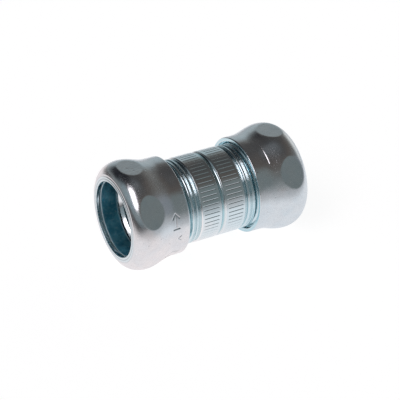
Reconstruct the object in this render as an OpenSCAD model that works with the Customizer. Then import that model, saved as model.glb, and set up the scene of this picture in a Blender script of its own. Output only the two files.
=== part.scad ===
// Compression coupling that joins two lengths of half inch thin wall conduit.
// Sizes are in millimetres. +X runs along the conduit and +Z is up.
// The origin is the centre of the coupling body, halfway between the two nuts.

/* [Conduit] */
// Outside diameter of the conduit that slides into each end
conduit_diameter = 17.93; // [12:0.01:30]
// Gap between the conduit and the wall of the coupling body
socket_clearance = 0.115; // [0.05:0.005:0.4]
// Gap between the conduit and the relaxed gland ring
ring_clearance = 0.185; // [0.05:0.005:0.5]
// Gap between the conduit and the opening in each nut
opening_clearance = 0.285; // [0.1:0.005:0.35]

/* [Coupling body] */
// Length of the coupling body from end to end
body_length = 36; // [28:0.1:60]
// Wall between the conduit socket and the bottom of the thread
body_wall = 0.72; // [0.5:0.01:2]
// Height of the knurled bands above the thread crests
band_step = 0.1; // [0.05:0.01:0.5]
// Width of the body left bare between a knurled band and a seated nut
bare_width = 2.91; // [2.4:0.01:6]
// Chamfer at the outer edge of each knurled band
band_chamfer = 0.2; // [0.1:0.01:0.3]
// Width of the relief groove beside each knurled band
relief_width = 0.9; // [0.5:0.01:1.2]
// Depth of the relief groove below the thread crests
relief_depth = 0.25; // [0.1:0.01:0.5]
// Width of the plain land between the relief groove and the thread
land_width = 1.3; // [0.6:0.01:2]
// Width of the rolled groove around the middle
middle_groove_width = 1.1; // [0.6:0.01:2]
// Depth of the rolled groove around the middle
middle_groove_depth = 0.45; // [0.2:0.01:0.7]
// Height of the stop ridge inside the body
stop_height = 0.73; // [0.3:0.01:1.5]
// Width of the top of the stop ridge inside the body
stop_width = 0.7; // [0.4:0.01:2]
// Width of the flat end face of the body
end_face_width = 0.15; // [0.08:0.01:0.4]

/* [Knurling] */
// Number of grooves around each knurled band
knurl_count = 60; // [24:1:90]
// Width of each knurl groove at the surface
knurl_width = 0.36; // [0.1:0.01:0.6]
// Depth of each knurl groove
knurl_depth = 0.2; // [0.05:0.01:0.4]
// Plain margin left at both edges of each knurled band
knurl_margin = 0.5; // [0.2:0.01:1]

/* [Thread] */
// Distance between thread turns
thread_pitch = 1.27; // [1:0.01:2]
// Gap between the thread of the body and the thread of the nut
thread_clearance = 0.1; // [0.05:0.01:0.2]

/* [Gland rings] */
// Wall of the gland ring
ring_wall = 0.7; // [0.4:0.01:1]
// Length of the gland ring
ring_length = 4.25; // [3:0.01:8]
// Wall left at the tapered ends of the gland ring
ring_tip_wall = 0.2; // [0.15:0.01:0.4]
// Width of the slit that lets the gland ring close
slit_width = 1.2; // [0.4:0.05:3]

/* [Compression nuts] */
// Length of each nut
nut_length = 14.1; // [11:0.1:17]
// Wall of the skirt of the nut outside its thread
skirt_wall = 1.44; // [0.8:0.01:3]
// Height of the bulge above the skirt
bulge_height = 1.36; // [0.8:0.01:3]
// Distance from the lip face to the top of the bulge
bulge_distance = 4.47; // [3:0.01:6]
// Fullness of the dome between the lip and the bulge, low is fuller
dome_power = 0.616; // [0.4:0.001:1]
// Length of the straight skirt
skirt_length = 2.6; // [1:0.1:5]
// Depth of the wrench flats below the top of the bulge
flat_depth = 0.6; // [0.2:0.01:0.8]
// Width of the lip face around the opening
lip_face_width = 1.25; // [0.6:0.01:2]
// Thickness of the lip that holds the gland ring in
lip_thickness = 1; // [0.6:0.01:2]
// Chamfer inside the skirt edge
skirt_chamfer = 0.6; // [0.2:0.01:1]

/* [Assembly] */
// Distance that the left nut is backed off from where its gland ring seats
left_backed_off = 1.04; // [0.1:0.01:3]
// Distance that the right nut is backed off from where its gland ring seats
right_backed_off = 0.2; // [0.1:0.01:3]

/* [Hidden] */
seat_slope = tan(35);
thread_height = 0.47 * thread_pitch;
crest_half = 0.095 * thread_pitch;
thread_sink = 0.15;
thread_segments = 36;
dome_steps = 16;
neck_steps = 12;
ring_gap = 0.15;
chamber_clearance = 0.3;
lip_round = 0.25;
skirt_edge = 0.12;
slit_angle = 55;

// radii, from the conduit outwards
conduit_radius = conduit_diameter / 2;
socket_radius = conduit_radius + socket_clearance;
stop_radius = socket_radius - stop_height;
ring_inner_radius = conduit_radius + ring_clearance;
ring_outer_radius = ring_inner_radius + ring_wall;
ring_tip_radius = ring_inner_radius + ring_tip_wall;
opening_radius = conduit_radius + opening_clearance;
root_radius = socket_radius + body_wall;
crest_radius = root_radius + thread_height;
band_radius = crest_radius + band_step;
seat_mouth_radius = root_radius - end_face_width;
chamber_radius = ring_outer_radius + chamber_clearance;
nut_root_radius = crest_radius + thread_clearance;
nut_crest_radius = root_radius + thread_clearance;
skirt_radius = nut_root_radius + skirt_wall;
bulge_radius = skirt_radius + bulge_height;
flat_distance = bulge_radius - flat_depth;
lip_radius = opening_radius + lip_face_width;

// stations along the axis, from the middle outwards, with the gland rings seated
body_end = body_length / 2;
seat_end = body_end - (seat_mouth_radius - socket_radius) / seat_slope;
ring_start = body_end - (seat_mouth_radius - ring_tip_radius) / seat_slope;
ring_end = ring_start + ring_length;
ring_taper = (ring_outer_radius - ring_tip_radius) / seat_slope;
lip_back = ring_end + ring_gap;
lip_face = lip_back + lip_thickness;
skirt_face = lip_face - nut_length;
band_end = skirt_face - bare_width;
relief_end = band_end + relief_width;
land_end = relief_end + land_width;
nut_bore_end = body_end;
nut_thread_end = nut_bore_end - thread_pitch / 2;
neck_distance = nut_length - skirt_length;
knurl_start = middle_groove_width / 2 + knurl_margin;
knurl_end = band_end - knurl_margin;

// Lays a shape that stands upright on its axis along +X instead.
module along_x() {
    rotate([0, 90, 0]) children();
}

// Turns the right hand end round to the left, so both threads stay right handed.
module left_end() {
    rotate([0, 0, 180]) children();
}

// A helical thread ridge around +X, on a round wall. The side is 1 for a thread
// on the outside of the wall and -1 for one on the inside. The phase is in turns.
// The ridge is sunk into the wall and fades into it over half a turn at each end.
module thread_ridge(wall_radius, side, height, from_x, to_x, phase) {
    first = ceil((from_x / thread_pitch - phase) * thread_segments);
    last = floor((to_x / thread_pitch - phase) * thread_segments);
    steps = last - first;
    fade = thread_segments / 2;
    base_half = crest_half + (height + thread_sink) * tan(30);
    base_radius = wall_radius - side * thread_sink;
    ridge_points = [
        for (i = [0:steps])
            let (a = 360 * (first + i) / thread_segments)
            let (x = thread_pitch * ((first + i) / thread_segments + phase))
            let (k = min(1, i / fade, (steps - i) / fade))
            let (top_radius = wall_radius + side * (k * height - (1 - k) * thread_sink / 2))
            for (p = [
                [-base_half, base_radius], [-crest_half, top_radius],
                [crest_half, top_radius], [base_half, base_radius]
            ]) [x + side * p[0], -p[1] * sin(a), p[1] * cos(a)]
    ];
    side_faces = [
        for (i = [0:steps - 1]) for (j = [0:3])
            let (n = 4 * i + j)
            let (m = 4 * i + (j + 1) % 4)
            for (t = [[n, m, m + 4], [n, m + 4, n + 4]]) t
    ];
    e = 4 * steps;
    end_faces = [[0, 2, 1], [0, 3, 2], [e, e + 1, e + 2], [e, e + 2, e + 3]];
    polyhedron(points = ridge_points, faces = concat(side_faces, end_faces));
}

// One end of the body, from the inside of the stop ridge round to the band.
body_outline = [
    [stop_radius, stop_width / 2],
    [socket_radius, stop_width / 2 + stop_height / 2],
    [socket_radius, seat_end],
    [seat_mouth_radius, body_end],
    [root_radius, body_end],
    [root_radius, land_end + thread_height],
    [crest_radius, land_end],
    [crest_radius, relief_end],
    [crest_radius - relief_depth, relief_end - relief_depth / 2],
    [crest_radius - relief_depth, band_end],
    [band_radius - band_chamfer, band_end],
    [band_radius, band_end - band_chamfer]
];

module body_shell() {
    other_end = [
        for (i = [len(body_outline) - 1:-1:0]) [body_outline[i][0], -body_outline[i][1]]
    ];
    along_x() rotate_extrude($fn = 96) polygon(concat(body_outline, other_end));
}

// The groove rolled around the middle, which raises the stop ridge inside.
module middle_groove() {
    roller = (pow(middle_groove_width / 2, 2) + pow(middle_groove_depth, 2))
        / (2 * middle_groove_depth);
    along_x() rotate_extrude($fn = 96)
        translate([band_radius - middle_groove_depth + roller, 0])
            circle(roller, $fn = 48);
}

// The grooves of one knurled band.
module knurl_grooves() {
    spread = knurl_width / (2 * knurl_depth);
    reach = knurl_depth + 0.1;
    for (i = [0:knurl_count - 1])
        rotate([360 * i / knurl_count, 0, 0])
            translate([knurl_start, 0, band_radius - knurl_depth])
                rotate([90, 0, 90])
                    linear_extrude(height = knurl_end - knurl_start)
                        polygon([[0, 0], [spread * reach, reach], [-spread * reach, reach]]);
}

module body_thread() {
    thread_ridge(
        root_radius, 1, thread_height,
        land_end, body_end - crest_half - thread_height * tan(30) - 0.1, 0
    );
}

module coupling_body() {
    color("silver")
    difference() {
        union() {
            body_shell();
            body_thread();
            left_end() body_thread();
        }
        middle_groove();
        knurl_grooves();
        left_end() knurl_grooves();
    }
}

module gland_ring() {
    color("lightsteelblue")
    difference() {
        along_x() rotate_extrude($fn = 96) polygon([
            [ring_inner_radius, ring_start],
            [ring_tip_radius, ring_start],
            [ring_outer_radius, ring_start + ring_taper],
            [ring_outer_radius, ring_end - ring_taper],
            [ring_tip_radius, ring_end],
            [ring_inner_radius, ring_end]
        ]);
        rotate([slit_angle, 0, 0])
            translate([ring_start - 1, -slit_width / 2, ring_inner_radius - 1])
                cube([ring_length + 2, slit_width, ring_wall + 2]);
    }
}

// The outside of the nut, from the lip over the dome and down to the skirt.
dome_outline = [
    for (i = [0:dome_steps])
        let (a = 90 * i / dome_steps)
        [
            lip_radius + (bulge_radius - lip_radius) * pow(sin(a), 2 * dome_power),
            lip_face - bulge_distance * (1 - cos(a))
        ]
];
neck_outline = [
    for (i = [1:neck_steps])
        let (a = 180 * i / neck_steps)
        [
            skirt_radius + bulge_height * (1 + cos(a)) / 2,
            lip_face - bulge_distance - (neck_distance - bulge_distance) * i / neck_steps
        ]
];
nut_inside = [
    [skirt_radius, skirt_face + skirt_edge],
    [skirt_radius - skirt_edge, skirt_face],
    [nut_root_radius + skirt_chamfer, skirt_face],
    [nut_root_radius, skirt_face + skirt_chamfer],
    [nut_root_radius, nut_bore_end],
    [chamber_radius, nut_bore_end + nut_root_radius - chamber_radius],
    [chamber_radius, lip_back - (chamber_radius - ring_tip_radius) / seat_slope],
    [ring_tip_radius, lip_back],
    [opening_radius, lip_back]
];
lip_outline = [
    for (a = [0:30:90])
        [
            opening_radius + lip_round * (1 - cos(a)),
            lip_face - lip_round * (1 - sin(a))
        ]
];

module nut_shell() {
    intersection() {
        along_x() rotate_extrude($fn = 96)
            polygon(concat(dome_outline, neck_outline, nut_inside, lip_outline));
        translate([skirt_face - 1, 0, 0]) along_x() rotate([0, 0, 30])
            cylinder(h = nut_length + 2, r = flat_distance / cos(30), $fn = 6);
    }
}

// A nut that is backed off by a distance. Its thread stays in mesh with the body,
// half a pitch away from the thread there, however far the nut is backed off.
module compression_nut(backed_off) {
    color("gainsboro")
    union() {
        translate([backed_off, 0, 0]) nut_shell();
        thread_ridge(
            nut_root_radius, -1, nut_root_radius - nut_crest_radius,
            skirt_face + skirt_chamfer + backed_off, nut_thread_end + backed_off, 0.5
        );
    }
}

module gland_ring_left() {
    left_end() translate([left_backed_off, 0, 0]) gland_ring();
}

module gland_ring_right() {
    translate([right_backed_off, 0, 0]) gland_ring();
}

module compression_nut_left() {
    left_end() compression_nut(left_backed_off);
}

module compression_nut_right() {
    compression_nut(right_backed_off);
}

coupling_body();
gland_ring_left();
gland_ring_right();
compression_nut_left();
compression_nut_right();
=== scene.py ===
import math

import bmesh
import bpy
import numpy as np
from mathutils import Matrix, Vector


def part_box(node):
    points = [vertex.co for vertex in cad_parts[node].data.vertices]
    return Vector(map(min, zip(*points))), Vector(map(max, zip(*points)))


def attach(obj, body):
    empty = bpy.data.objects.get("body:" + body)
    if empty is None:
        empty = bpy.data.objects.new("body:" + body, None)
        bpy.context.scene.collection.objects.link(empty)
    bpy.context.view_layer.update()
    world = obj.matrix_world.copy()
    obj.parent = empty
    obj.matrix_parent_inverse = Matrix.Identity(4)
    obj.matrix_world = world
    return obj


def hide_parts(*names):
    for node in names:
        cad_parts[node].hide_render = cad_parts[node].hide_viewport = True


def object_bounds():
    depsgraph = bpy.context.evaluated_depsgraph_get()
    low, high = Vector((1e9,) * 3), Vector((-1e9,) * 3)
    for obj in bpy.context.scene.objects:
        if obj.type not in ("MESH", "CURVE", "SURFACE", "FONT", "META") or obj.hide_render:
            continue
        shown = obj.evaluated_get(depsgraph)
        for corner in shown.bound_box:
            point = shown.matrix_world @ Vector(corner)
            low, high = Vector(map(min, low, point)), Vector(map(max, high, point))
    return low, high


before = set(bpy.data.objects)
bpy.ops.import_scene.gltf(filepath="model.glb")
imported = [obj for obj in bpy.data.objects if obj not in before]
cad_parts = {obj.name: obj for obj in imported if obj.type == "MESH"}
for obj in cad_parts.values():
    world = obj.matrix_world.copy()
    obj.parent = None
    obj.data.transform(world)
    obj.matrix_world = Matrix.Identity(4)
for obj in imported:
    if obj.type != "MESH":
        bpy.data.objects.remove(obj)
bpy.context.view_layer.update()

MM = 0.001

# ---------------------------------------------------------------- camera

CAMERA_AZIMUTH = math.radians(-29.27)
CAMERA_ELEVATION = math.radians(30.79)
CAMERA_DISTANCE = 322 * MM
CAMERA_LENS = 120.0
# the object sits a little right of and above the optical axis
AIM_RIGHT, AIM_UP = -0.63 * MM, -1.40 * MM

back = Vector((
    math.sin(CAMERA_AZIMUTH) * math.cos(CAMERA_ELEVATION),
    -math.cos(CAMERA_AZIMUTH) * math.cos(CAMERA_ELEVATION),
    math.sin(CAMERA_ELEVATION),
))
right = Vector((math.cos(CAMERA_AZIMUTH), math.sin(CAMERA_AZIMUTH), 0.0))
up = back.cross(right)

camera_data = bpy.data.cameras.new("camera")
camera_data.sensor_width = 36.0
camera_data.lens = CAMERA_LENS
camera_data.clip_start = 0.01
camera_data.clip_end = 50.0
camera_data.dof.use_dof = False
camera = bpy.data.objects.new("camera", camera_data)
bpy.context.scene.collection.objects.link(camera)
camera.rotation_mode = "QUATERNION"
camera.rotation_quaternion = (-back).to_track_quat("-Z", "Y")
camera.location = right * AIM_RIGHT + up * AIM_UP + back * CAMERA_DISTANCE
bpy.context.scene.camera = camera

# ---------------------------------------------------------------- sizes, in mm

# the body: socket, stop ridge, seat for the ring, band, neck and thread
body_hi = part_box("coupling_body")[1]
BODY_END = body_hi.x / MM
BAND_R = body_hi.y / MM
CREST_R = BAND_R - 0.1
ROOT_R = 9.8
SOCKET_R = 9.08
STOP_R = 8.35
STOP_HALF = 0.35
STOP_FOOT = 0.715
SEAT_SLOPE = math.tan(math.radians(35))
SEAT_MOUTH_R = 9.65
BAND_END = 5.96
BAND_CHAMFER = 0.2
GROOVE_HALF = 0.55
GROOVE_DEPTH = 0.45
RELIEF_END = BAND_END + 0.9
RELIEF_R = CREST_R - 0.25
LAND_END = RELIEF_END + 1.3
THREAD_RUN_IN = 0.7
END_SLOPE = 1.2

# the thread: a pitch, and where its crest and its root begin, as shares of half a pitch
PITCH = 1.27
CREST_SHARE = 0.19
ROOT_SHARE = 0.73

# the nut: dome, neck, skirt, inner thread, ring chamber and lip, and how far the thread is
# out of step with the body's, in pitches
NUT_ROOT_R = CREST_R + 0.1
NUT_CREST_R = ROOT_R + 0.1
SKIRT_R = NUT_ROOT_R + 1.44
SKIRT_STRAIGHT = 2.6
SKIRT_CHAMFER = 0.6
SKIRT_ROUNDING = 0.28
BULGE_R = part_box("compression_nut_right")[1].y / MM
FLAT_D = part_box("compression_nut_right")[1].z / MM
OPENING_R = 9.25
TIP_R = 9.35
CHAMBER_R = 10.15
LIP_THICK = 1.0
NUT_THREAD_STOP = 5.35
NUT_RUN_OUT = 0.5
NUT_PHASE = 0.5

RING_IN_R = 9.15
RING_OUT_R = 9.85

# knurl grooves: how many, half their width, depth, where they begin and end, and their fade
KNURLS = 60
KNURL_HALF = 0.13
KNURL_DEPTH = 0.09
KNURL_FROM = 1.05
KNURL_TO = BAND_END - 0.5
KNURL_RUN = 0.35

TURNING = 0.24
TURNING_DEPTH = 0.09
# the two turned strips of the neck, between smooth ones
TURNED = [(BAND_END + 0.12, RELIEF_END + 0.2), (RELIEF_END + 0.38, LAND_END - 0.2)]

# ---------------------------------------------------------------- mesh helpers


def fillet(points, steps=4):
    """A profile of (radius, x, corner radius) points with its corners rounded."""
    out = []
    for i, (r, x, round_r) in enumerate(points):
        p = np.array((r, x))
        if round_r <= 0 or i in (0, len(points) - 1):
            out.append(p)
            continue
        a = np.array(points[i - 1][:2]) - p
        b = np.array(points[i + 1][:2]) - p
        la, lb = np.linalg.norm(a), np.linalg.norm(b)
        a, b = a / la, b / lb
        half = math.acos(max(-1.0, min(1.0, float(a @ b)))) / 2
        cut = min(round_r / math.tan(half), la * 0.48, lb * 0.48)
        radius = cut * math.tan(half)
        centre = p + (a + b) / np.linalg.norm(a + b) * radius / math.sin(half)
        start, end = p + a * cut - centre, p + b * cut - centre
        swing = math.pi - 2 * half
        for k in range(steps + 1):
            s = k / steps
            w0 = math.sin((1 - s) * swing) / math.sin(swing)
            w1 = math.sin(s * swing) / math.sin(swing)
            out.append(centre + w0 * start + w1 * end)
    return np.array(out)


def resample(profile, longest):
    """The profile with its long stretches divided."""
    out = [profile[0]]
    for a, b in zip(profile[:-1], profile[1:]):
        n = max(1, int(math.ceil(np.linalg.norm(b - a) / longest)))
        for k in range(1, n + 1):
            out.append(a + (b - a) * k / n)
    return np.array(out)


def around(theta, radius, x):
    """Points at angle theta about +X, from +Z towards -Y, in metres."""
    theta, radius, x = np.broadcast_arrays(theta, radius, x)
    return np.stack((x, -radius * np.sin(theta), radius * np.cos(theta)), -1) * MM


def grid_faces(rows, cols, start, wrap_cols=False, wrap_rows=False):
    r = np.arange(rows if wrap_rows else rows - 1)
    c = np.arange(cols if wrap_cols else cols - 1)
    r, c = np.meshgrid(r, c, indexing="ij")
    r1, c1 = (r + 1) % rows, (c + 1) % cols
    quads = np.stack((r * cols + c, r1 * cols + c, r1 * cols + c1, r * cols + c1), -1)
    return quads.reshape(-1, 4) + start


def weld(points, quads, polygons):
    """Merges points that lie on each other, and drops the faces that collapse."""
    keys = np.round(points / 2e-8).astype(np.int64)
    _, first, inverse = np.unique(keys, axis=0, return_index=True, return_inverse=True)
    inverse = inverse.reshape(-1)
    quads = inverse[quads]
    plain = np.ones(len(quads), bool)
    for k in range(4):
        plain &= quads[:, k] != quads[:, (k + 1) % 4]
    plain &= (quads[:, 0] != quads[:, 2]) & (quads[:, 1] != quads[:, 3])
    out = quads[plain].tolist()
    for face in quads[~plain].tolist() + [inverse[f].tolist() for f in polygons]:
        kept = [v for k, v in enumerate(face) if v != face[k - 1]]
        if len(kept) >= 3 and len(set(kept)) == len(kept):
            out.append(kept)
    return points[first], out


def mark_edges(mesh, reach):
    """Stores how far each vertex stands out of its neighbourhood, or lies in a hollow, so
    that the materials can lighten the edges, as wear and as a painted highlight, and paint
    shade into the corners."""
    count = len(mesh.vertices)
    co = np.empty(count * 3)
    mesh.vertices.foreach_get("co", co)
    co = co.reshape(-1, 3)
    normal = np.empty(count * 3)
    mesh.vertex_normals.foreach_get("vector", normal)
    normal = normal.reshape(-1, 3)
    edges = np.empty(len(mesh.edges) * 2, np.int64)
    mesh.edges.foreach_get("vertices", edges)
    i, j = edges.reshape(-1, 2).T
    way = co[j] - co[i]
    length = np.maximum(np.linalg.norm(way, axis=1), 1e-9)
    # the turn of the surface along every edge, seen from both of its ends
    lift = np.zeros(count)
    ends = np.zeros(count)
    np.add.at(lift, i, np.einsum("ij,ij->i", way, normal[i]) / length ** 2)
    np.add.at(lift, j, np.einsum("ij,ij->i", -way, normal[j]) / length ** 2)
    np.add.at(ends, i, 1)
    np.add.at(ends, j, 1)
    lift = lift / np.maximum(ends, 1) * reach
    for _ in range(2):
        spread = lift.copy()
        share = np.ones(count)
        np.add.at(spread, i, lift[j])
        np.add.at(spread, j, lift[i])
        np.add.at(share, i, 1)
        np.add.at(share, j, 1)
        lift = spread / share
    for name, value in (("wear_and_highlight", -lift), ("hollow", lift)):
        layer = mesh.attributes.new(name, "FLOAT", "POINT")
        layer.data.foreach_set("value", np.clip(value, 0, 1).astype(np.float32))


def make_mesh(name, grids, node, body, material, end_turned=False, polygons=(),
              is_cut=None):
    """One closed piece from several grids of points, each (points, wraps round, wraps
    along), and from single faces given as rows of points. A piece of the left end is made
    like one of the right end, and then given half a turn about Z."""
    points, quads, start = [], [], 0
    for grid, wrap_cols, wrap_rows in grids:
        rows, cols = grid.shape[:2]
        points.append(grid.reshape(-1, 3))
        quads.append(grid_faces(rows, cols, start, wrap_cols, wrap_rows))
        start += rows * cols
    singles = []
    for face in polygons:
        points.append(np.asarray(face))
        singles.append(np.arange(len(face)) + start)
        start += len(face)
    points, faces = weld(np.concatenate(points), np.concatenate(quads), singles)
    if end_turned:
        points = points * np.array((-1.0, -1.0, 1.0))
    mesh = bpy.data.meshes.new(name)
    mesh.from_pydata(points.tolist(), [], faces)
    mesh.validate()
    shape = bmesh.new()
    shape.from_mesh(mesh)
    bmesh.ops.recalc_face_normals(shape, faces=shape.faces)
    shape.to_mesh(mesh)
    shape.free()
    mesh.materials.append(material)
    mesh.shade_smooth()
    mesh.set_sharp_from_angle(angle=math.radians(50))
    mark_edges(mesh, 0.4 * MM)
    if is_cut is not None:
        place = points * (-1000 if end_turned else 1000, 1000, 1000)
        layer = mesh.attributes.new("cut", "FLOAT", "POINT")
        layer.data.foreach_set("value", is_cut(
            np.hypot(place[:, 1], place[:, 2]), place[:, 0]).astype(np.float32))
    piece = bpy.data.objects.new(name, mesh)
    bpy.context.scene.collection.objects.link(piece)
    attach(piece, body)
    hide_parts(node)
    return piece


def thread_grid(theta, from_x, to_x, phase, radius_at):
    """A helical surface between two rings. Its rows follow the helix, so the flanks stay
    straight, and a row that runs off either end lies on the ring there."""
    turns_low = math.floor(from_x / PITCH - phase) - 1
    turns_high = math.ceil(to_x / PITCH - phase) + 1
    # rows of one pitch: root, flank, crest, flank, with two at each corner to round it
    cycle = np.array((0.0, 0.12, 0.17, 0.38, 0.43, 0.57, 0.62, 0.83, 0.88))
    rows = np.concatenate([k + cycle for k in range(turns_low, turns_high + 1)])
    x = (rows[:, None] + phase + theta[None, :] / (2 * math.pi)) * PITCH
    x = np.clip(x, from_x, to_x)
    # 0 in the middle of the crest and 1 at the root
    share = np.abs((rows % 1.0) - 0.5) * 2
    radius = radius_at(share[:, None], x)
    return around(theta[None, :], radius, x)


def thread_drop(share):
    """How far the flank has gone down from the crest, as a share of the thread's height."""
    return np.clip((share - CREST_SHARE) / (ROOT_SHARE - CREST_SHARE), 0, 1)


def smooth_step(low, high, v):
    t = np.clip((v - low) / (high - low), 0, 1)
    return t * t * (3 - 2 * t)


# ---------------------------------------------------------------- materials


def new_material(name):
    material = bpy.data.materials.new(name)
    material.use_nodes = True
    nodes, links = material.node_tree.nodes, material.node_tree.links
    nodes.clear()
    output = nodes.new("ShaderNodeOutputMaterial")
    shader = nodes.new("ShaderNodeBsdfPrincipled")
    links.new(shader.outputs[0], output.inputs[0])
    return material, nodes, links, shader


class Plating:
    """Zinc plating on steel, built up from procedural nodes."""

    def __init__(self, name):
        self.material, self.nodes, self.links, self.shader = new_material(name)
        self.shader.inputs["Metallic"].default_value = 1.0
        self.place = self.nodes.new("ShaderNodeTexCoord").outputs["Object"]
        self.normal = None

    def stretched(self, scale):
        mapping = self.nodes.new("ShaderNodeMapping")
        mapping.inputs["Scale"].default_value = scale
        self.links.new(self.place, mapping.inputs["Vector"])
        return mapping.outputs[0]

    def noise(self, scale, detail=3.0, rough=0.5, vector=None):
        node = self.nodes.new("ShaderNodeTexNoise")
        node.inputs["Scale"].default_value = scale
        node.inputs["Detail"].default_value = detail
        node.inputs["Roughness"].default_value = rough
        self.links.new(self.place if vector is None else vector, node.inputs["Vector"])
        return node.outputs["Fac"]

    def specks(self, scale, size, vector=None):
        """1 on small scattered spots and 0 between them."""
        node = self.nodes.new("ShaderNodeTexVoronoi")
        node.inputs["Scale"].default_value = scale
        self.links.new(self.place if vector is None else vector, node.inputs["Vector"])
        return self.remap(node.outputs["Distance"], size, 0.0, 0.0, 1.0)

    def remap(self, value, low, high, to_low, to_high):
        node = self.nodes.new("ShaderNodeMapRange")
        node.interpolation_type = "SMOOTHSTEP"
        self.links.new(value, node.inputs["Value"])
        for name, number in (("From Min", low), ("From Max", high),
                             ("To Min", to_low), ("To Max", to_high)):
            node.inputs[name].default_value = number
        return node.outputs["Result"]

    def attribute(self, name):
        node = self.nodes.new("ShaderNodeAttribute")
        node.attribute_name = name
        return node.outputs["Fac"]

    def math(self, operation, a, b):
        node = self.nodes.new("ShaderNodeMath")
        node.operation = operation
        for socket, value in zip(node.inputs, (a, b)):
            if isinstance(value, float):
                socket.default_value = value
            else:
                self.links.new(value, socket)
        return node.outputs[0]

    def mix(self, share, a, b):
        node = self.nodes.new("ShaderNodeMix")
        node.data_type = "RGBA"
        sockets = [i for i in node.inputs if i.type == "RGBA"]
        self.links.new(share, node.inputs["Factor"])
        for socket, colour in zip(sockets, (a, b)):
            if isinstance(colour, tuple):
                socket.default_value = (*colour, 1)
            else:
                self.links.new(colour, socket)
        return next(o for o in node.outputs if o.type == "RGBA")

    def bump(self, height, depth):
        """Adds a relief of the given depth in metres."""
        node = self.nodes.new("ShaderNodeBump")
        node.inputs["Strength"].default_value = 1.0
        node.inputs["Distance"].default_value = depth
        self.links.new(height, node.inputs["Height"])
        if self.normal is not None:
            self.links.new(self.normal, node.inputs["Normal"])
        self.normal = node.outputs[0]

    def finish(self, colour, rough):
        self.links.new(colour, self.shader.inputs["Base Color"])
        self.links.new(rough, self.shader.inputs["Roughness"])
        if self.normal is not None:
            self.links.new(self.normal, self.shader.inputs["Normal"])
        return self.material


def nut_plating():
    """Satin zinc on a pressed shell: cloudy, with small pits and handling marks."""
    p = Plating("nut_zinc")
    clouds = p.remap(p.noise(260, 4.0, 0.6), 0.35, 0.65, 0.0, 1.0)
    colour = p.mix(clouds, (0.715, 0.77, 0.795), (0.76, 0.79, 0.80))
    fine = p.noise(1500, 4.0, 0.6)
    colour = p.mix(p.remap(fine, 0.35, 0.75, 0.0, 0.25), colour, (0.60, 0.60, 0.62))
    pits = p.specks(1100, 0.2)
    colour = p.mix(p.math("MULTIPLY", pits, 0.4), colour, (0.42, 0.43, 0.45))
    colour = p.mix(p.remap(p.attribute("cut"), 0.0, 1.0, 0.0, 0.85), colour, (0.50, 0.74, 0.80))
    # painted shade: darker in the hollows and corners
    colour = p.mix(p.remap(p.attribute("hollow"), 0.03, 0.3, 0.0, 0.75), colour, (0.20, 0.26, 0.29))
    # edges lighter, partly as wear and partly as a painted highlight
    colour = p.mix(p.remap(p.attribute("wear_and_highlight"), 0.35, 1.0, 0.0, 0.7), colour, (0.93, 0.92, 0.92))
    glints = p.specks(900, 0.17, p.stretched((1.0, 1.0, 1.3)))
    colour = p.mix(p.math("MULTIPLY", glints, 0.7), colour, (0.97, 0.97, 0.98))
    # dull grains, which catch light from everywhere
    patches = p.remap(p.noise(120, 2.0), 0.40, 0.62, 0.15, 1.0)
    grains = p.math("MULTIPLY", p.specks(1500, 0.26), patches)
    rough = p.math("ADD", p.remap(p.noise(420, 4.0, 0.6), 0.3, 0.7, 0.17, 0.26),
                   p.math("MULTIPLY", grains, 0.4))
    p.bump(glints, 0.000006)
    p.bump(p.noise(700, 2.0), 0.000014)
    p.bump(fine, 0.000006)
    p.bump(pits, -0.000008)
    # scattered dents, in patches
    dented = p.remap(p.noise(170, 2.0), 0.44, 0.58, 0.0, 1.0)
    dents = p.math("MULTIPLY", p.specks(560, 0.18), dented)
    p.bump(dents, -0.000022)
    colour = p.mix(p.math("MULTIPLY", dents, 0.6), colour, (0.40, 0.42, 0.45))
    marks = p.specks(260, 0.055, p.stretched((1.0, 7.0, 2.2)))
    p.bump(marks, -0.000004)
    return p.finish(colour, rough)


def body_plating():
    """Bright blue-passivated zinc with the fine rings that turning leaves."""
    p = Plating("body_zinc")
    clouds = p.remap(p.noise(140, 3.0), 0.35, 0.65, 0.0, 1.0)
    colour = p.mix(clouds, (0.73, 0.83, 0.855), (0.80, 0.85, 0.86))
    rings = p.noise(1.0, 3.0, 0.6, p.stretched((4200.0, 45.0, 45.0)))
    broad = p.noise(1.0, 2.0, 0.5, p.stretched((1500.0, 20.0, 20.0)))
    colour = p.mix(p.remap(rings, 0.3, 0.7, 0.0, 0.2), colour, (0.58, 0.67, 0.70))
    # bluer where the steel was turned, outside the band
    place = p.nodes.new("ShaderNodeSeparateXYZ")
    p.links.new(p.place, place.inputs[0])
    across = p.math("ABSOLUTE", place.outputs["X"], 0.0)
    outside = p.remap(across, BAND_END * MM, (BAND_END + 0.1) * MM, 0.0, 0.8)
    colour = p.mix(outside, colour, (0.68, 0.82, 0.86))
    # painted shade, darker and teal, at the bottom of the middle groove
    colour = p.mix(p.remap(across, 0.1 * MM, 0.45 * MM, 0.8, 0.0), colour, (0.38, 0.64, 0.69))
    # painted shade: darker in the hollows and corners, and dark teal in those of the turned neck
    hollow = p.remap(p.attribute("hollow"), 0.05, 0.4, 0.0, 1.0)
    colour = p.mix(p.math("MULTIPLY", hollow, 0.45), colour, (0.42, 0.46, 0.47))
    colour = p.mix(p.math("MULTIPLY", hollow, outside), colour, (0.24, 0.50, 0.57))
    # edges lighter, partly as wear and partly as a painted highlight
    colour = p.mix(p.remap(p.attribute("wear_and_highlight"), 0.25, 0.9, 0.0, 0.6), colour, (0.90, 0.93, 0.94))
    rough = p.math("ADD", p.remap(p.noise(600, 4.0, 0.6), 0.3, 0.7, 0.12, 0.21),
                   p.math("MULTIPLY", outside, 0.03))
    p.bump(broad, 0.000010)
    p.bump(rings, 0.000004)
    p.bump(p.noise(1400, 3.0), 0.000003)
    return p.finish(colour, rough)


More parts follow.
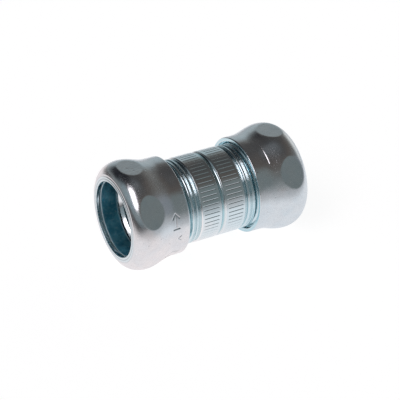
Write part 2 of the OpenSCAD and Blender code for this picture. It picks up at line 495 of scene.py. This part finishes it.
def ring_plating():
    """Duller blue-green zinc, mottled, on a rolled and split ring."""
    p = Plating("ring_zinc")
    clouds = p.remap(p.noise(420, 4.0, 0.65), 0.35, 0.65, 0.0, 1.0)
    colour = p.mix(clouds, (0.08, 0.34, 0.46), (0.18, 0.50, 0.61))
    colour = p.mix(p.remap(p.noise(1500, 4.0), 0.45, 0.8, 0.0, 0.4), colour, (0.45, 0.66, 0.74))
    # edges much lighter and rougher, partly as wear and partly as a painted highlight
    wear_and_highlight = p.remap(p.attribute("wear_and_highlight"), 0.15, 0.6, 0.0, 1.0)
    colour = p.mix(wear_and_highlight, colour, (0.78, 0.95, 1.0))
    rough = p.math("ADD", p.remap(p.noise(900, 3.0), 0.3, 0.7, 0.32, 0.46),
                   p.math("MULTIPLY", wear_and_highlight, 0.2))
    p.bump(p.noise(800, 3.0), 0.000008)
    return p.finish(colour, rough)


nut_zinc = nut_plating()
body_zinc = body_plating()
ring_zinc = ring_plating()

# ---------------------------------------------------------------- coupling body


def knurl_columns():
    """Angles around the body, gathered at the sides of every knurl groove."""
    pitch = 2 * math.pi / KNURLS
    half = KNURL_HALF / BAND_R
    one = np.array((0.0, 0.5 * half, half, 1.3 * half, 0.5 * pitch, pitch - 1.3 * half,
                    pitch - half, pitch - 0.5 * half))
    return np.concatenate([k * pitch + one for k in range(KNURLS)] + [[2 * math.pi]])


def knurl_share(theta):
    """1 at the bottom of a knurl groove and 0 beside it."""
    pitch = 2 * math.pi / KNURLS
    off = np.abs((theta + pitch / 2) % pitch - pitch / 2) * BAND_R
    return np.clip(1 - off / KNURL_HALF, 0, 1)


def body_parts():
    fine = knurl_columns()
    coarse = fine[::2]
    # the middle groove is a part of a roller's circle
    roller = (GROOVE_HALF ** 2 + GROOVE_DEPTH ** 2) / (2 * GROOVE_DEPTH)
    centre = BAND_R - GROOVE_DEPTH + roller
    groove_swing = math.asin(GROOVE_HALF / roller) * 0.86
    arc = [
        (centre - roller * math.cos(a), roller * math.sin(a), 0.0)
        for a in np.linspace(0, groove_swing, 7)
    ]
    join, fine_end = BAND_END + 0.06, BAND_END + 0.02
    half = arc + [
        (BAND_R, GROOVE_HALF + 0.05, 0.09),
        (BAND_R, BAND_END - BAND_CHAMFER, 0.06),
        (BAND_R - BAND_CHAMFER, BAND_END, 0.04),
        (RELIEF_R, fine_end, 0.0),
    ]
    profile = resample(fillet(half, 3), 0.9)
    # finer rows where the knurl grooves begin and end
    start, end, run = KNURL_FROM, KNURL_TO, KNURL_RUN
    steps = (0.0, 0.1, 0.22, run)
    ends = [start + step for step in steps] + [end - step for step in steps[::-1]]
    profile = np.concatenate((profile, [(BAND_R, x) for x in ends]))
    profile = profile[np.argsort(profile[:, 1], kind="stable")]
    mirrored = profile[::-1] * (1, -1)
    whole = np.concatenate((mirrored, profile[1:]))
    along = np.abs(whole[:, 1])
    ramp = smooth_step(start, start + run, along) * (1 - smooth_step(end - run, end, along))
    radius = whole[:, 0][:, None] - KNURL_DEPTH * ramp[:, None] * knurl_share(fine)[None, :]
    middle = around(fine[None, :], radius, whole[:, 1][:, None])

    # the turned neck between the band and the thread
    rows = np.arange(join, LAND_END, TURNING / 5)
    rows[-1] = LAND_END
    neck = np.array([x for k, x in enumerate(rows)
                     if k % 3 == 0 or x == LAND_END or any(a < x < b for a, b in TURNED)])
    level = RELIEF_R + (CREST_R - RELIEF_R) * smooth_step(RELIEF_END - 0.2, RELIEF_END, neck)
    cuts = 0.5 - 0.5 * np.cos((neck - join) / TURNING * 2 * math.pi)
    fade = sum(
        smooth_step(a, a + 0.08, neck) - smooth_step(b - 0.08, b, neck) for a, b in TURNED)
    neck_r = level - TURNING_DEPTH * cuts * fade
    turned = around(coarse[None, :], neck_r[:, None], neck[:, None])

    def male(share, x):
        depth = thread_drop(share) * smooth_step(LAND_END, LAND_END + THREAD_RUN_IN, x)
        r = CREST_R - (CREST_R - ROOT_R) * depth
        return np.minimum(r, ROOT_R + np.clip(BODY_END - x, 0, None) * END_SLOPE)

    thread = thread_grid(coarse, LAND_END, BODY_END, 0.0, male)

    seat_end = BODY_END - (SEAT_MOUTH_R - SOCKET_R) / SEAT_SLOPE
    inside = resample(fillet([
        (ROOT_R, BODY_END, 0.0),
        (SEAT_MOUTH_R, BODY_END, 0.04),
        (SOCKET_R, seat_end, 0.15),
        (SOCKET_R, STOP_FOOT, 0.3),
        (STOP_R, STOP_HALF, 0.2),
        (STOP_R, 0.0, 0.0),
    ], 3), 2.0)
    inside = np.concatenate((inside, inside[-2::-1] * (1, -1)))
    bore = around(coarse[None, :], inside[:, 0][:, None], inside[:, 1][:, None])

    # the fine columns of the band meet the coarse ones of the neck in five-sided faces
    joins = []
    for turn in (1, -1):
        near = around(fine, RELIEF_R, turn * fine_end)
        far = around(coarse, RELIEF_R, turn * join)
        joins += [(near[2 * k], near[2 * k + 1], near[2 * k + 2], far[k + 1], far[k])
                  for k in range(len(coarse) - 1)]
    end_turn = np.array((-1.0, -1.0, 1.0))
    flip = np.array((-1.0, 1.0, 1.0))
    grids = [(middle, False, False), (turned, False, False), (turned * flip, False, False),
             (thread, False, False), (thread * end_turn, False, False), (bore, False, False)]
    return grids, joins


grids, joins = body_parts()
make_mesh("coupling_body_visual", grids, "coupling_body", "body", body_zinc,
          polygons=joins)

# ---------------------------------------------------------------- compression nuts

NUT_COLUMNS = 360
NUT_ROWS = 0.2
FLATS = 6
FLAT_BLEND = 0.07
BULGE_AT = 4.47
MOUTH_R = OPENING_R + 0.27
DOME_POWER = 0.806
# the turned rings around the mouth: how wide, how deep and how many
LIP_TURNED = 1.7
LIP_CUT = 0.085
LIP_CUTS = 2.5

# a stamped tightening arrow and two plain marks, as strokes in (mm around, mm along), drawn
# for a nut whose lip is at MARKS_LIP
MARKS_LIP = 24.01
STAMP = [
    ((-6.6, 13.5), (-2.8, 13.5)), ((-6.6, 13.5), (-5.4, 12.6)), ((-6.6, 13.5), (-5.4, 14.4)),
    ((-2.8, 12.6), (-2.8, 14.4)),
    ((-0.6, 12.2), (0.1, 13.0)), ((0.1, 13.0), (0.8, 12.2)),
    ((4.6, 13.9), (5.6, 11.9)), ((5.6, 11.9), (6.6, 13.9)),
    ((6.6, 13.9), (5.6, 15.9)), ((5.6, 15.9), (4.6, 13.9)),
]
STAMP_ANGLE = math.radians(-100)
STAMP_R = 12.0
STAMP_SPREAD = math.radians(37)
STAMP_COLUMNS = math.radians(0.55)
SCRATCH = [((-3.9, 14.36), (3.3, 14.36))]
SCRATCH_ANGLE = math.radians(33)
SCRATCH_R = 12.1
SCRATCH_SPREAD = math.radians(15)
SCRATCH_COLUMNS = math.radians(0.6)
# the rows that the marks need, as (from, to, step)
MARK_ROWS = (11.6, 16.2, 0.13)


def smooth_min(a, b, k):
    h = np.clip(1 - np.abs(a - b) / k, 0, 1)
    return np.minimum(a, b) - h * h * k / 4


def stroke_depth(s, x, strokes, half_width, depth, tapers=False):
    """How deep a set of strokes lies at each point of the nut's skin, s mm around it and x mm
    along it."""
    nearest = np.full(np.broadcast(s, x).shape, 1e9)
    for (s0, x0), (s1, x1) in strokes:
        ds, dx = s1 - s0, x1 - x0
        t = np.clip(((s - s0) * ds + (x - x0) * dx) / (ds * ds + dx * dx), 0, 1)
        away = np.hypot(s - s0 - t * ds, x - x0 - t * dx)
        if tapers:
            away = away + half_width * np.clip(4 * np.abs(t - 0.5) - 1, 0, 1) ** 2
        nearest = np.minimum(nearest, away)
    return depth * smooth_step(half_width, 0.0, nearest)


def zoned(low, high, step, zones):
    """Even values from low to high, closer together inside each (from, to, step) zone."""
    values = list(np.linspace(low, high, int(round((high - low) / step)) + 1))
    for start, end, fine in zones:
        inner = np.linspace(start, end, int(round((end - start) / fine)) + 1)
        values = [v for v in values if v < start - fine or v > end + fine] + list(inner)
    return np.array(sorted(values))


def nut_columns(scratched):
    """Angles around a nut, closer together at its marks."""
    stamp_from = STAMP_ANGLE - STAMP_SPREAD + 2 * math.pi
    zones = [(stamp_from, stamp_from + 2 * STAMP_SPREAD, STAMP_COLUMNS)]
    if scratched:
        zones.append((SCRATCH_ANGLE - SCRATCH_SPREAD, SCRATCH_ANGLE + SCRATCH_SPREAD,
                      SCRATCH_COLUMNS))
    return zoned(0, 2 * math.pi, 2 * math.pi / NUT_COLUMNS, zones)


def nut_profile(lip, skirt, shift):
    """The outside of a nut from the mouth of its opening to its inner thread."""
    neck_end = skirt + SKIRT_STRAIGHT
    neck_start = lip - BULGE_AT
    # the dome from the mouth of the opening to the widest ring, turned near the mouth
    reach = BULGE_R - MOUTH_R
    lip_rows = np.linspace(MOUTH_R, MOUTH_R + LIP_TURNED, 26)
    swing = np.arcsin(((lip_rows - MOUTH_R) / reach) ** (1 / DOME_POWER))
    swing = np.concatenate((swing, np.linspace(swing[-1], math.pi / 2, 22)[1:]))
    dome = np.stack((
        MOUTH_R + reach * np.sin(swing) ** DOME_POWER,
        lip - BULGE_AT * (1 - np.cos(swing)),
    ), -1)
    share = np.clip((dome[:, 0] - MOUTH_R) / LIP_TURNED, 0, 1)
    cuts = 0.5 - 0.5 * np.cos(share * LIP_CUTS * 2 * math.pi)
    dome[:, 1] -= LIP_CUT * cuts * (1 - 0.6 * share)
    low, high, step = MARK_ROWS
    rows = zoned(neck_end, neck_start, NUT_ROWS,
                 [(max(neck_end, low + shift), high + shift, step)])
    fall = (neck_start - rows) / (neck_start - neck_end) * math.pi
    neck = np.stack((SKIRT_R + (BULGE_R - SKIRT_R) * (1 + np.cos(fall)) / 2, rows), -1)[::-1]
    edge = fillet([
        (SKIRT_R, neck_end - 0.6, 0.0),
        (SKIRT_R, skirt, SKIRT_ROUNDING),
        (NUT_ROOT_R + SKIRT_CHAMFER, skirt, 0.05),
        (NUT_ROOT_R, skirt + SKIRT_CHAMFER, 0.0),
    ])
    straight = np.array([(SKIRT_R, x) for x in np.arange(neck_end - step, skirt + 0.5, -step)])
    return np.concatenate((dome, neck[1:], straight, resample(edge[1:], 0.4)))


def nut_parts(lip, skirt, phase, scratched):
    shift = lip - MARKS_LIP
    theta = nut_columns(scratched)
    outside = nut_profile(lip, skirt, shift)
    off = (theta + math.pi / FLATS) % (2 * math.pi / FLATS) - math.pi / FLATS
    flat = FLAT_D / np.cos(off)
    radius = smooth_min(outside[:, 0][:, None], flat[None, :], FLAT_BLEND)
    along = outside[:, 1][:, None] - shift
    angle = theta[None, :] - 2 * math.pi * (theta[None, :] > math.pi)
    radius = radius - stroke_depth(
        (STAMP_ANGLE - angle) * STAMP_R, along, STAMP, half_width=0.20, depth=0.14)
    if scratched:
        radius = radius - stroke_depth(
            (angle - SCRATCH_ANGLE) * SCRATCH_R, along, SCRATCH, half_width=0.16,
            depth=0.073, tapers=True)
    outer = around(theta[None, :], radius, outside[:, 1][:, None])

    thread_start = skirt + SKIRT_CHAMFER
    thread_end = lip - NUT_THREAD_STOP

    def female(share, x):
        run_in = smooth_step(thread_start, thread_start + NUT_RUN_OUT, x)
        run_out = 1 - smooth_step(thread_end - NUT_RUN_OUT, thread_end, x)
        height = (1 - thread_drop(share)) * run_in * run_out
        return NUT_ROOT_R - (NUT_ROOT_R - NUT_CREST_R) * height

    thread = thread_grid(theta, thread_start, thread_end, phase, female)
    lip_back = lip - LIP_THICK
    inside = fillet([
        (NUT_ROOT_R, thread_end, 0.0),
        (CHAMBER_R, thread_end + NUT_ROOT_R - CHAMBER_R, 0.1),
        (CHAMBER_R, lip_back - (CHAMBER_R - TIP_R) / SEAT_SLOPE, 0.1),
        (TIP_R, lip_back, 0.03),
        (OPENING_R, lip_back, 0.08),
        (OPENING_R, lip, 0.2),
        (MOUTH_R, lip, 0.0),
    ], 4)
    inside = resample(inside, 1.0)
    bore = around(theta[None, :], inside[:, 0][:, None], inside[:, 1][:, None])
    return [(outer, False, False), (thread, False, False), (bore, False, False)]


def cut_by_tool(lip, skirt):
    """A function that says where a tool has cut the nut: the bore, the thread, the skirt's
    end face and partly the mouth."""

    def is_cut(radius, x):
        end_face = (x < skirt + 0.65) & (radius < SKIRT_R - 0.1)
        thread = (radius < NUT_ROOT_R + 0.01) & (x < lip - 1.5)
        bore = radius < OPENING_R + 0.12
        mouth = (radius < MOUTH_R + 0.9) & (x > lip - 0.4)
        return np.where(bore | thread | end_face, 1.0, np.where(mouth, 0.45, 0.0))

    return is_cut


def inner_and_outer_end(node, turned):
    """Where a node of either side begins and ends, in mm out from the middle of the body."""
    lo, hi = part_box(node)
    return (-hi.x / MM, -lo.x / MM) if turned else (lo.x / MM, hi.x / MM)


# only the right nut is scratched, and both inner threads run out of step with the body's
for side, turned in (("right", False), ("left", True)):
    skirt, lip = inner_and_outer_end("compression_nut_" + side, turned)
    make_mesh(
        f"compression_nut_{side}_visual", nut_parts(lip, skirt, NUT_PHASE, not turned),
        "compression_nut_" + side, "nut_" + side, nut_zinc, turned,
        is_cut=cut_by_tool(lip, skirt))

# ---------------------------------------------------------------- gland rings

SLIT_ANGLE = math.radians(55)
SLIT_WIDTH = 1.2
RING_COLUMNS = 300


def ring_parts(start, end):
    """A split ring with a taper at both ends, and the two faces of its slit."""
    taper = (RING_OUT_R - TIP_R) / SEAT_SLOPE
    loop = [
        (RING_IN_R, (start + end) / 2, 0.0),
        (RING_IN_R, start, 0.12),
        (TIP_R, start, 0.06),
        (RING_OUT_R, start + taper, 0.15),
        (RING_OUT_R, end - taper, 0.15),
        (TIP_R, end, 0.06),
        (RING_IN_R, end, 0.12),
        (RING_IN_R, (start + end) / 2, 0.0),
    ]
    loop = resample(fillet(loop), 0.5)[:-1]
    share = np.linspace(0, 1, RING_COLUMNS + 1)
    half = np.arcsin(SLIT_WIDTH / 2 / loop[:, 0])[:, None]
    theta = -SLIT_ANGLE + half + (2 * math.pi - 2 * half) * share[None, :]
    shell = around(theta, loop[:, 0][:, None], loop[:, 1][:, None])
    return [(shell, False, True)], [shell[:, 0], shell[:, -1]]


for side, turned in (("right", False), ("left", True)):
    start, end = inner_and_outer_end("gland_ring_" + side, turned)
    grids, ends = ring_parts(start, end)
    make_mesh(
        f"gland_ring_{side}_visual", grids, "gland_ring_" + side, "ring_" + side,
        ring_zinc, turned, polygons=ends)

# ---------------------------------------------------------------- stage and light

floor_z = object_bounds()[0].z


def stage_plane(name, z, colour, diffuse, strength):
    """A level plane that glows, and its material's nodes, links and shader."""
    mesh = bpy.data.meshes.new(name)
    mesh.from_pydata([(-20, -20, z), (20, -20, z), (20, 20, z), (-20, 20, z)], [], [(0, 1, 2, 3)])
    plane = bpy.data.objects.new(name, mesh)
    bpy.context.scene.collection.objects.link(plane)
    material, nodes, links, shader = new_material(name)
    shader.inputs["Base Color"].default_value = (diffuse, diffuse, diffuse, 1)
    shader.inputs["Roughness"].default_value = 1.0
    shader.inputs["Specular IOR Level"].default_value = 0.0
    shader.inputs["Emission Color"].default_value = (*colour, 1)
    shader.inputs["Emission Strength"].default_value = strength
    mesh.materials.append(material)
    return plane, nodes, links, shader


# the pale floor itself, and a lit table just under it that only reflections see
floor = stage_plane("pale_floor", floor_z, (1, 1, 1), 0.25, 0.92)[0]
floor.visible_glossy = False

# how bright the table is, as (share of its reach, level), dimming away from the object
TABLE = [
    (0.0, 1.0), (0.15, 1.0), (0.2, 0.88), (0.26, 0.66), (0.5, 0.58), (0.85, 0.5), (1.0, 0.42),
]
TABLE_REACH = 200 * MM
# how fast it dims on the near or left side, and on the far or right side
DIMS_NEAR, DIMS_FAR = (-0.5, -1.0, 0.0), (0.25, 0.3, 0.0)
# warmer on the left and cooler on the right, changing over this span of X
TABLE_LEFT, TABLE_RIGHT = (1.02, 0.94, 0.95), (0.86, 0.875, 0.92)
TINT_SPAN = (-15, 15)
# darker far out on the left, over this span of X
DARK_SPAN, DARK_LEVEL = (-105, -35), 0.16


def vector_math(nodes, links, operation, a, b):
    node = nodes.new("ShaderNodeVectorMath")
    node.operation = operation
    for socket, value in zip(node.inputs, (a, b)):
        if isinstance(value, tuple):
            socket.default_value = value
        else:
            links.new(value, socket)
    return node.outputs["Value" if operation in ("LENGTH", "DOT_PRODUCT") else "Vector"]


def colour_ramp(nodes, links, value, colours):
    """A smooth ramp through (position, colour) stops."""
    ramp = nodes.new("ShaderNodeValToRGB")
    ramp.color_ramp.interpolation = "EASE"
    stops = ramp.color_ramp.elements
    stops[0].position, stops[1].position = colours[0][0], colours[-1][0]
    for position, _ in colours[1:-1]:
        stops.new(position)
    for stop, (_, colour) in zip(stops, colours):
        stop.color = (*colour, 1)
    links.new(value, ramp.inputs["Fac"])
    return ramp.outputs["Color"]


def along_x(nodes, links, x, span, values):
    """A smooth change along X, over a span in mm."""
    change = nodes.new("ShaderNodeMapRange")
    change.interpolation_type = "SMOOTHSTEP"
    for name, number in (("From Min", span[0] * MM), ("From Max", span[1] * MM),
                         ("To Min", values[0]), ("To Max", values[1])):
        change.inputs[name].default_value = number
    links.new(x, change.inputs["Value"])
    return change.outputs["Result"]


def light_table():
    """The table that reflections see, brightest around the object."""
    table, nodes, links, shader = stage_plane(
        "lit_table", floor_z - 0.0001, (1, 1, 1), 0.0, 1.0)
    table.visible_camera = False
    table.visible_diffuse = False
    table.visible_shadow = False

    place = nodes.new("ShaderNodeTexCoord").outputs["Object"]
    near = vector_math(nodes, links, "MULTIPLY", place, DIMS_NEAR)
    far = vector_math(nodes, links, "MULTIPLY", place, DIMS_FAR)
    offset = vector_math(nodes, links, "MAXIMUM", near, far)
    distance = vector_math(nodes, links, "LENGTH", offset, (0.0, 0.0, 0.0))
    reach = nodes.new("ShaderNodeMapRange")
    reach.inputs["From Max"].default_value = TABLE_REACH
    links.new(distance, reach.inputs["Value"])
    level = colour_ramp(nodes, links, reach.outputs["Result"],
                        [(position, (grey, grey, grey)) for position, grey in TABLE])

    split = nodes.new("ShaderNodeSeparateXYZ")
    links.new(place, split.inputs[0])
    rightness = along_x(nodes, links, split.outputs["X"], TINT_SPAN, (0.0, 1.0))
    darkness = along_x(nodes, links, split.outputs["X"], DARK_SPAN, (DARK_LEVEL, 1.0))
    tint = nodes.new("ShaderNodeMix")
    tint.data_type = "VECTOR"
    a_in, b_in = [i for i in tint.inputs if i.type == "VECTOR" and i.name in ("A", "B")]
    a_in.default_value, b_in.default_value = TABLE_LEFT, TABLE_RIGHT
    links.new(rightness, tint.inputs["Factor"])
    colour = vector_math(nodes, links, "MULTIPLY", level,
                         next(o for o in tint.outputs if o.type == "VECTOR"))
    colour = vector_math(nodes, links, "MULTIPLY", colour, darkness)
    links.new(colour, shader.inputs["Emission Color"])


light_table()

# the room: a dim warm ceiling that grows lighter towards the horizon, as (0 straight down to
# 1 straight up, colour), and soft boxes as (azimuth from +X towards +Y, elevation, inner and
# outer radius in degrees, colour)
CEILING = [
    (0.0, (0.36, 0.38, 0.39)),
    (0.5, (0.36, 0.38, 0.39)),
    (0.56, (0.27, 0.29, 0.30)),
    (0.63, (0.21, 0.225, 0.23)),
    (0.78, (0.15, 0.145, 0.14)),
    (0.90, (0.105, 0.09, 0.083)),
    (0.96, (0.083, 0.077, 0.076)),
    (0.985, (0.09, 0.092, 0.095)),
    (1.0, (0.14, 0.145, 0.155)),
]
SOFT_BOXES = [
    (118, 42, 18, 46, (0.020, 0.021, 0.026)),
    (48, 60, 6, 26, (0.070, 0.067, 0.068)),
    (65, 6, 6, 32, (0.43, 0.49, 0.52)),
    (172, 20, 8, 34, (0.26, 0.32, 0.35)),
    (-145, -2, 16, 44, (0.22, 0.26, 0.28)),
    (-62, 24, 12, 30, (0.18, 0.205, 0.21)),
    (-27, 15, 5, 24, (0.25, 0.27, 0.30)),
    (20, 2, 4, 32, (0.85, 0.85, 0.85)),
    (-151, 39, 3, 17, (3.5, 3.2, 3.35)),
    (-165, 53, 3, 17, (3.5, 3.2, 3.35)),
]


def light_room():
    world = bpy.data.worlds.new("studio")
    bpy.context.scene.world = world
    world.use_nodes = True
    nodes, links = world.node_tree.nodes, world.node_tree.links
    nodes.clear()
    world_out = nodes.new("ShaderNodeOutputWorld")
    background = nodes.new("ShaderNodeBackground")
    links.new(background.outputs[0], world_out.inputs[0])
    way = nodes.new("ShaderNodeTexCoord").outputs["Generated"]
    split = nodes.new("ShaderNodeSeparateXYZ")
    links.new(way, split.inputs[0])
    height = nodes.new("ShaderNodeMapRange")
    height.inputs["From Min"].default_value = -1.0
    links.new(split.outputs["Z"], height.inputs["Value"])
    light = colour_ramp(nodes, links, height.outputs["Result"], CEILING)
    for azimuth, elevation, inner, outer, colour in SOFT_BOXES:
        a, e = math.radians(azimuth), math.radians(elevation)
        towards = (math.cos(a) * math.cos(e), math.sin(a) * math.cos(e), math.sin(e))
        share = nodes.new("ShaderNodeMapRange")
        share.interpolation_type = "SMOOTHSTEP"
        share.inputs["From Min"].default_value = math.cos(math.radians(outer))
        share.inputs["From Max"].default_value = math.cos(math.radians(inner))
        links.new(vector_math(nodes, links, "DOT_PRODUCT", way, towards), share.inputs["Value"])
        blend = nodes.new("ShaderNodeMix")
        blend.data_type = "RGBA"
        a_in, b_in = [i for i in blend.inputs if i.type == "RGBA"]
        links.new(share.outputs["Result"], blend.inputs["Factor"])
        links.new(light, a_in)
        b_in.default_value = (*colour, 1)
        light = next(o for o in blend.outputs if o.type == "RGBA")
    links.new(light, background.inputs["Color"])


light_room()
bpy.context.scene.view_settings.view_transform = "Standard"
